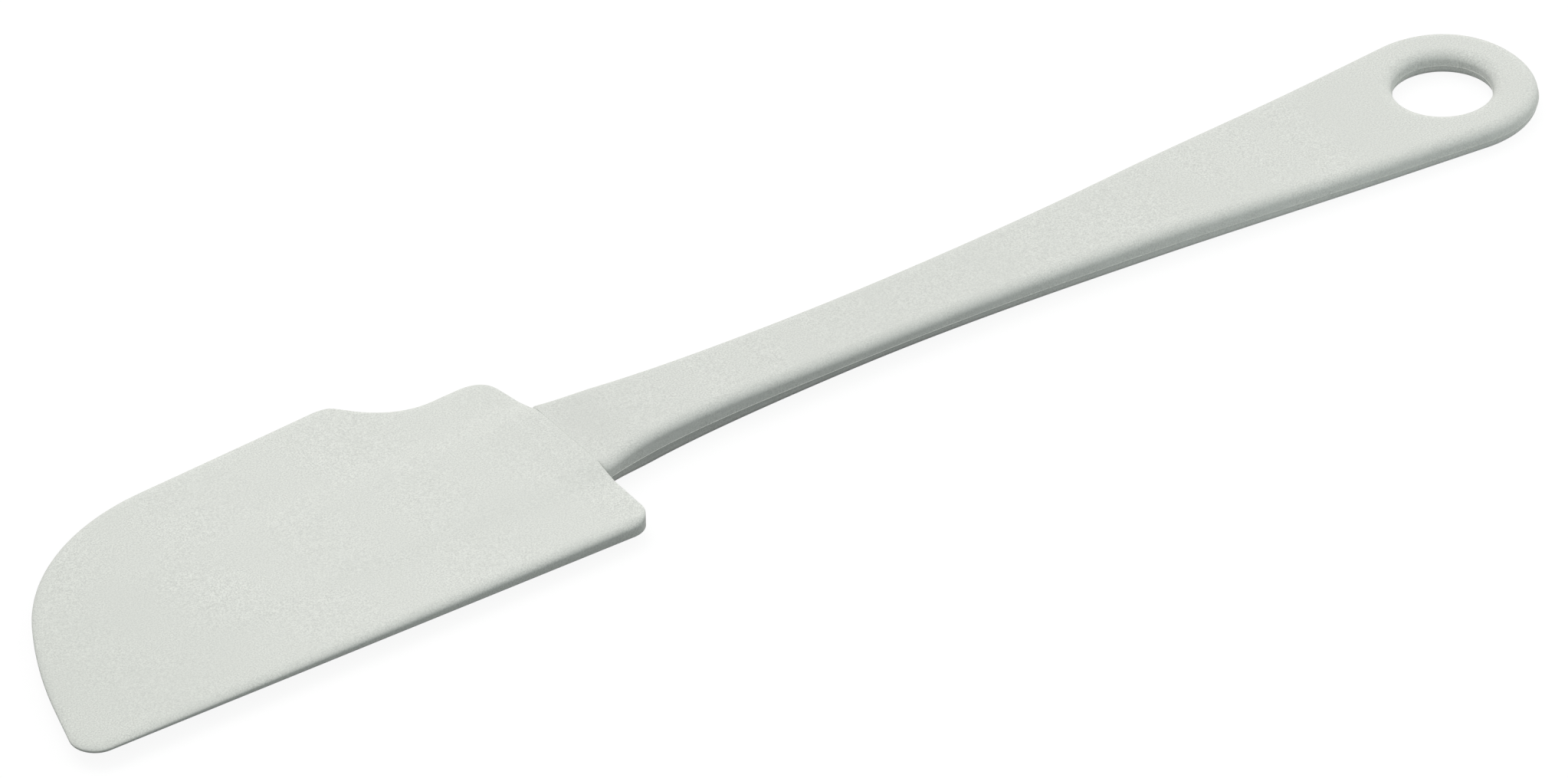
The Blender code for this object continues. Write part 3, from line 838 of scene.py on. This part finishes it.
def mould_grain_group():
    """Fine moulded grain, and the slow unevenness of the colour under it."""
    tree, start, end = group_tree("Mould grain", ["Grain scale"], ["Grain", "Cloud", "Height"])
    place = tree.nodes.new("ShaderNodeTexCoord").outputs["Object"]
    grain = noise(tree, start.outputs["Grain scale"], GRAIN_DETAIL, place)
    cloud = noise(tree, CLOUD_SCALE, CLOUD_DETAIL, place)
    tree.links.new(remap(tree, grain, *NOISE_RANGE, 0.0, 1.0), end.inputs["Grain"])
    tree.links.new(remap(tree, cloud, *NOISE_RANGE, 0.0, 1.0), end.inputs["Cloud"])
    tree.links.new(grain, end.inputs["Height"])
    return tree


def rubbed_rim_group():
    """A mask of the rubbed edges: strongest at the outermost rim, and broken up by a coarse noise."""
    tree, start, end = group_tree("Rubbed rim", ["Amount"], ["Mask"])
    rim = tree.nodes.new("ShaderNodeAttribute")
    rim.attribute_name = "rim"
    place = tree.nodes.new("ShaderNodeTexCoord").outputs["Object"]
    patches = remap(tree, noise(tree, PATCH_SCALE, PATCH_DETAIL, place), *PATCH_RANGE, 0.0, 1.0)
    edge = remap(tree, rim.outputs["Fac"], *RUBBED_RANGE, 0.0, 1.0)
    mask = maths(tree, "MULTIPLY", maths(tree, "MULTIPLY", edge, patches), start.outputs["Amount"])
    tree.links.new(mask, end.inputs["Mask"])
    return tree


def place_group(tree, group, values):
    """Puts a shared node group into a material, with its own input values."""
    node = tree.nodes.new("ShaderNodeGroup")
    node.node_tree = group
    for name, value in values.items():
        node.inputs[name].default_value = value
    return node


def mix(tree, share_socket, first, second, blend="MIX"):
    """Blends two colours, each a tuple or a socket, by a value socket: plainly, or as a multiplication."""
    node = tree.nodes.new("ShaderNodeMix")
    node.data_type = "RGBA"
    node.blend_type = blend
    tree.links.new(share_socket, node.inputs["Factor"])
    for socket, value in ((node.inputs[FIRST_COLOUR], first), (node.inputs[SECOND_COLOUR], second)):
        if isinstance(value, bpy.types.NodeSocket):
            tree.links.new(value, socket)
        else:
            socket.default_value = (*value, 1.0)
    return node.outputs[MIXED_COLOUR]


def toned(base, by):
    """A colour made lighter or darker by a share."""
    return tuple(channel * (1 + by) for channel in base)


def moulded_material(name, finish, piece):
    """A matt moulded surface: grain, slow unevenness, rubbed edges and a fine bump.

    The piece is blade or handle, with which the names of its own properties begin.
    """
    base = getattr(finish, piece)[:]
    roughness = getattr(finish, piece + "_roughness")
    material = bpy.data.materials.new(name)
    material.use_nodes = True
    tree = material.node_tree
    shader = tree.nodes["Principled BSDF"]
    shader.inputs["Specular IOR Level"].default_value = getattr(finish, piece + "_shine")
    grain = place_group(tree, shared_group("Mould grain"), {"Grain scale": 1 / finish.grain_size})
    rubbed = place_group(tree, shared_group("Rubbed rim"), {"Amount": getattr(finish, piece + "_wear")})
    swing = finish.grain_tone / 2
    fine = mix(tree, grain.outputs["Grain"], toned(base, -swing), toned(base, swing))
    cover = maths(tree, "MULTIPLY", grain.outputs["Cloud"], CLOUD_SHARE)
    cloudy = mix(tree, cover, fine, toned(base, CLOUD_TONE))
    worn = mix(tree, rubbed.outputs["Mask"], cloudy, finish.wear[:])
    tree.links.new(worn, shader.inputs["Base Color"])
    smoothest = roughness - ROUGHNESS_SWING
    roughest = roughness + ROUGHNESS_SWING
    dull = remap(tree, grain.outputs["Cloud"], 0.0, 1.0, smoothest, roughest)
    tree.links.new(dull, shader.inputs["Roughness"])
    bump = tree.nodes.new("ShaderNodeBump")
    bump.inputs["Strength"].default_value = BUMP_STRENGTH
    bump.inputs["Distance"].default_value = BUMP_DISTANCE
    tree.links.new(grain.outputs["Height"], bump.inputs["Height"])
    tree.links.new(bump.outputs["Normal"], shader.inputs["Normal"])
    return material, worn


def shared_group(name):
    """A shared shader group, built once."""
    if name not in bpy.data.node_groups:
        {"Mould grain": mould_grain_group, "Rubbed rim": rubbed_rim_group}[name]()
    return bpy.data.node_groups[name]


def blade_rubber(finish, blade, handle):
    """Pale matt rubber, a little darker towards the nose."""
    material, worn = moulded_material("moulded_rubber", finish, "blade")
    tree = material.node_tree
    shader = tree.nodes["Principled BSDF"]
    place = tree.nodes.new("ShaderNodeTexCoord").outputs["Object"]
    split = tree.nodes.new("ShaderNodeSeparateXYZ")
    tree.links.new(place, split.inputs["Vector"])
    end_x = plan_origin(handle).x
    # Darker towards the nose: the whole tint at the nose, none from halfway along the blade
    nose = remap(tree, split.outputs["X"], end_x - blade.length, end_x - blade.length / 2, 1.0, 0.0)
    tree.links.new(mix(tree, nose, worn, finish.nose_tint[:], "MULTIPLY"), shader.inputs["Base Color"])
    return material


def handle_plastic(finish):
    """Pale satin plastic with lightly rubbed edges, made once for the handle and its parting line."""
    if "moulded_plastic" in bpy.data.materials:
        return bpy.data.materials["moulded_plastic"]
    return moulded_material("moulded_plastic", finish, "handle")[0]


def seen_directly(tree):
    """1 for camera, glossy and transmission rays, and 0 for the light that the object gets."""
    rays = tree.nodes.new("ShaderNodeLightPath")
    direct = maths(tree, "ADD", rays.outputs["Is Camera Ray"], rays.outputs["Is Glossy Ray"])
    return maths(tree, "MINIMUM", maths(tree, "ADD", direct, rays.outputs["Is Transmission Ray"]), 1.0)


def make_floor(stage):
    """A wide floor, dark or grey to the object, and nearly white to the camera, with a faint shadow."""
    material = bpy.data.materials.new("stage_floor")
    material.use_nodes = True
    tree = material.node_tree
    link = tree.links.new
    shader = tree.nodes["Principled BSDF"]
    shader.inputs["Roughness"].default_value = 1.0
    shader.inputs["Specular IOR Level"].default_value = 0.0
    direct = seen_directly(tree)
    split = tree.nodes.new("ShaderNodeSeparateXYZ")
    link(tree.nodes.new("ShaderNodeTexCoord").outputs["Object"], split.inputs["Vector"])
    under_grip = remap(tree, split.outputs["X"], stage.card_start, stage.card_end, 0.0, 1.0)
    lighting = mix(tree, under_grip, stage.floor_colour[:], stage.card_colour[:])
    link(mix(tree, direct, lighting, (stage.floor_shading,) * 3), shader.inputs["Base Color"])
    glow = tree.nodes.new("ShaderNodeEmission")
    link(maths(tree, "MULTIPLY", direct, stage.floor_glow), glow.inputs["Strength"])
    both = tree.nodes.new("ShaderNodeAddShader")
    link(shader.outputs["BSDF"], both.inputs[0])
    link(glow.outputs["Emission"], both.inputs[1])
    link(both.outputs["Shader"], tree.nodes["Material Output"].inputs["Surface"])
    mesh = bmesh.new()
    bmesh.ops.create_grid(mesh, x_segments=1, y_segments=1, size=FLOOR_REACH)
    return make_object("stage_floor", mesh, material)


def make_sky(stage):
    """Even soft light all round, which the camera sees as white."""
    world = bpy.data.worlds.new("stage_sky")
    bpy.context.scene.world = world
    world.use_nodes = True
    tree = world.node_tree
    dimmed = tuple(channel * stage.sky_level for channel in stage.sky_colour)
    seen = mix(tree, seen_directly(tree), dimmed, (1.0, 1.0, 1.0))
    tree.links.new(seen, tree.nodes["Background"].inputs["Color"])


def make_lamp(stage, name, azimuth, elevation, level):
    """A very wide soft light from far away, with its level as it falls on a level surface."""
    data = bpy.data.lights.new(name, "SUN")
    data.energy = math.pi * level / math.sin(elevation)
    data.angle = stage.lamp_spread
    data.color = stage.lamp_colour
    lamp = bpy.data.objects.new(name, data)
    bpy.context.scene.collection.objects.link(lamp)
    lamp.matrix_world = (
        Matrix.Rotation(math.pi + azimuth, 4, "Z")
        @ Matrix.Rotation(math.pi / 2 - elevation, 4, "X")
    )


def make_fill(stage):
    """A lamp in front of the eye's end, which lights the near side, and most of all the grip's."""
    data = bpy.data.lights.new("stage_fill", "AREA")
    data.size = stage.fill_size
    data.energy = math.pi ** 2 * stage.fill_level
    data.color = stage.sky_colour
    lamp = bpy.data.objects.new("stage_fill", data)
    lamp.visible_camera = False
    bpy.context.scene.collection.objects.link(lamp)
    place = Vector(FILL_PLACE)
    aim = Vector(FILL_AIM) - place
    lamp.matrix_world = Matrix.Translation(place) @ aim.to_track_quat("-Z", "Y").to_matrix().to_4x4()


def make_lamps(stage):
    """A key high behind the spatula, a softer lamp on each side, and the fill."""
    make_lamp(stage, "stage_key", stage.key_azimuth, stage.key_elevation, stage.key_level)
    make_lamp(stage, "stage_left", stage.side_azimuth, stage.side_elevation, stage.left_level)
    make_lamp(stage, "stage_right", -stage.side_azimuth, stage.side_elevation, stage.right_level)
    make_fill(stage)


def make_camera(stage):
    """The camera at the photograph's angle."""
    data = bpy.data.cameras.new("stage_camera")
    data.sensor_width = SENSOR_WIDTH
    data.lens = stage.focal_pixels / PHOTO_WIDTH * SENSOR_WIDTH
    data.clip_end = CAMERA_REACH
    camera = bpy.data.objects.new("stage_camera", data)
    bpy.context.scene.collection.objects.link(camera)
    turned = (
        Matrix.Rotation(stage.azimuth, 4, "Z")
        @ Matrix.Rotation(math.pi / 2 - stage.elevation, 4, "X")
        @ Matrix.Rotation(stage.roll, 4, "Z")
    )
    target = Vector((stage.target_x, stage.target_y, 0))
    camera.matrix_world = Matrix.Translation(target + turned.col[2].to_3d() * stage.distance) @ turned
    bpy.context.scene.camera = camera


class SPATULA_OT_make_blade(bpy.types.Operator):
    """Makes the soft blade with its pocket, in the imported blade's place"""

    bl_idname = "spatula.make_blade"
    bl_label = "Make blade"

    def execute(self, context):
        scene = context.scene
        material = blade_rubber(scene.spatula_finish, scene.spatula_blade, scene.spatula_handle)
        made = make_blade(scene.spatula_blade, scene.spatula_handle, material)
        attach(made, "blade")
        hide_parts("blade")
        return {"FINISHED"}


class SPATULA_OT_make_handle(bpy.types.Operator):
    """Makes the handle with its tongue and eye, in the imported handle's place"""

    bl_idname = "spatula.make_handle"
    bl_label = "Make handle"

    def execute(self, context):
        scene = context.scene
        material = handle_plastic(scene.spatula_finish)
        made = make_handle(scene.spatula_blade, scene.spatula_handle, material)
        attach(made, "handle")
        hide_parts("handle")
        return {"FINISHED"}


class SPATULA_OT_make_parting_line(bpy.types.Operator):
    """Makes the bead along the handle's side and inside its eye"""

    bl_idname = "spatula.make_parting_line"
    bl_label = "Make parting line"

    def execute(self, context):
        scene = context.scene
        material = handle_plastic(scene.spatula_finish)
        made = make_parting_line(scene.spatula_blade, scene.spatula_handle, material)
        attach(made, "handle")
        return {"FINISHED"}


class SPATULA_OT_make_stage(bpy.types.Operator):
    """Makes the floor, the light and the camera"""

    bl_idname = "spatula.make_stage"
    bl_label = "Make stage"

    def execute(self, context):
        stage = context.scene.spatula_stage
        make_floor(stage)
        make_sky(stage)
        make_lamps(stage)
        make_camera(stage)
        context.scene.view_settings.view_transform = "Standard"
        return {"FINISHED"}


OPERATORS = (
    SPATULA_OT_make_blade,
    SPATULA_OT_make_handle,
    SPATULA_OT_make_parting_line,
    SPATULA_OT_make_stage,
)
SETTINGS = {
    "spatula_blade": BladeSizes,
    "spatula_handle": HandleSizes,
    "spatula_finish": FinishColours,
    "spatula_stage": StageSettings,
}


class SPATULA_PT_pieces(bpy.types.Panel):
    """Lists the pieces and the stage in the sidebar"""

    bl_label = "Spatula"
    bl_space_type = "VIEW_3D"
    bl_region_type = "UI"
    bl_category = "Spatula"

    def draw(self, context):
        for operator in OPERATORS:
            self.layout.operator(operator.bl_idname)
        for group, settings_class in SETTINGS.items():
            box = self.layout.box()
            for name in settings_class.__annotations__:
                box.prop(getattr(context.scene, group), name)


CLASSES = (*SETTINGS.values(), *OPERATORS, SPATULA_PT_pieces)


def register():
    for item in CLASSES:
        bpy.utils.register_class(item)
    for name, group in SETTINGS.items():
        setattr(bpy.types.Scene, name, bpy.props.PointerProperty(type=group))


def unregister():
    for name in SETTINGS:
        delattr(bpy.types.Scene, name)
    for item in reversed(CLASSES):
        bpy.utils.unregister_class(item)


def main():
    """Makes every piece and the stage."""
    register()
    bpy.ops.spatula.make_blade()
    bpy.ops.spatula.make_handle()
    bpy.ops.spatula.make_parting_line()
    bpy.ops.spatula.make_stage()


if __name__ == "__main__":
    main()
